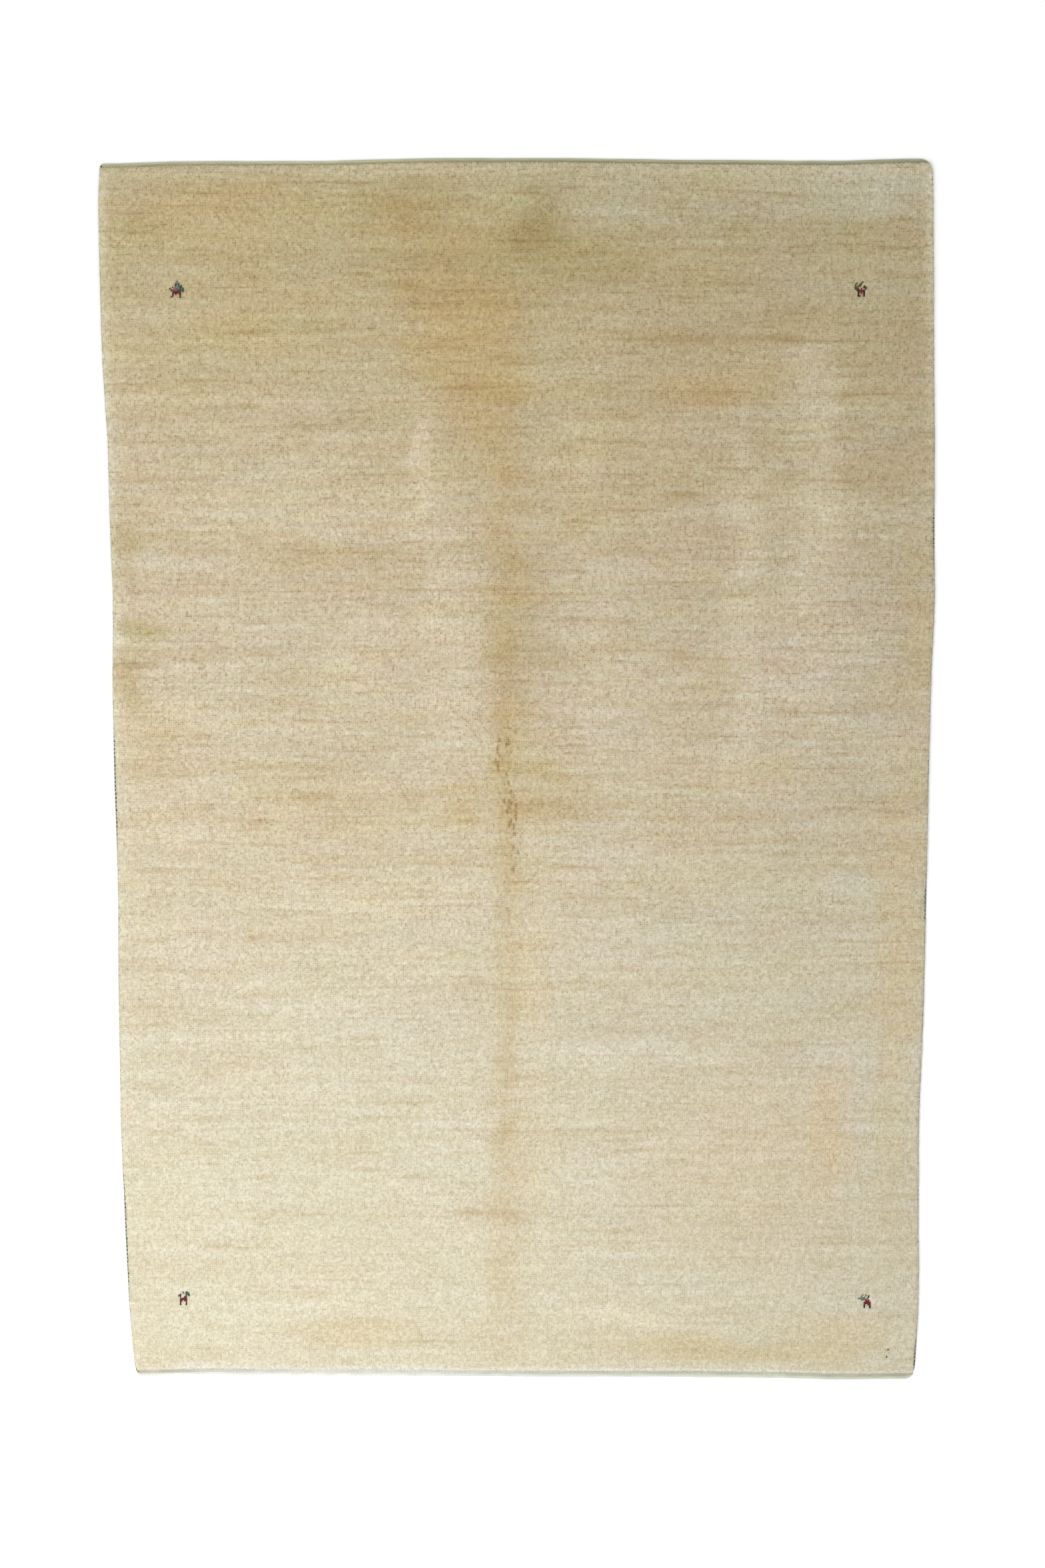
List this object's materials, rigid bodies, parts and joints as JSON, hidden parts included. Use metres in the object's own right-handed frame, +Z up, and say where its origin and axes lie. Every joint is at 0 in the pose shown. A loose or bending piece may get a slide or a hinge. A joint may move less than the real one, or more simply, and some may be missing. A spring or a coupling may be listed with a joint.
{
  "type": "gabbeh rug",
  "caption": "Hand-knotted wool gabbeh rug lying flat: thick plain pile, small goat motif in each corner, flat-woven end hems and overcast side cords.",
  "frame": {"origin": "middle of the rug's outline, on the floor under its flat back", "axes": "+X across the rug, +Y along the warps towards the end woven last, +Z up out of the pile"},
  "size_m": [2.0194, 3.02, 0.0141],
  "materials": {
    "knotted_wool": "hand-spun knotted wool pile, matt, with soft colour bands",
    "overcast_wool": "wool yarn wrapped round the outer warps, matt"
  },
  "bodies": {
    "root": {"rug_body": "knotted_wool", "selvedge_left": "overcast_wool", "selvedge_right": "overcast_wool"}
  },
  "joints": []
}
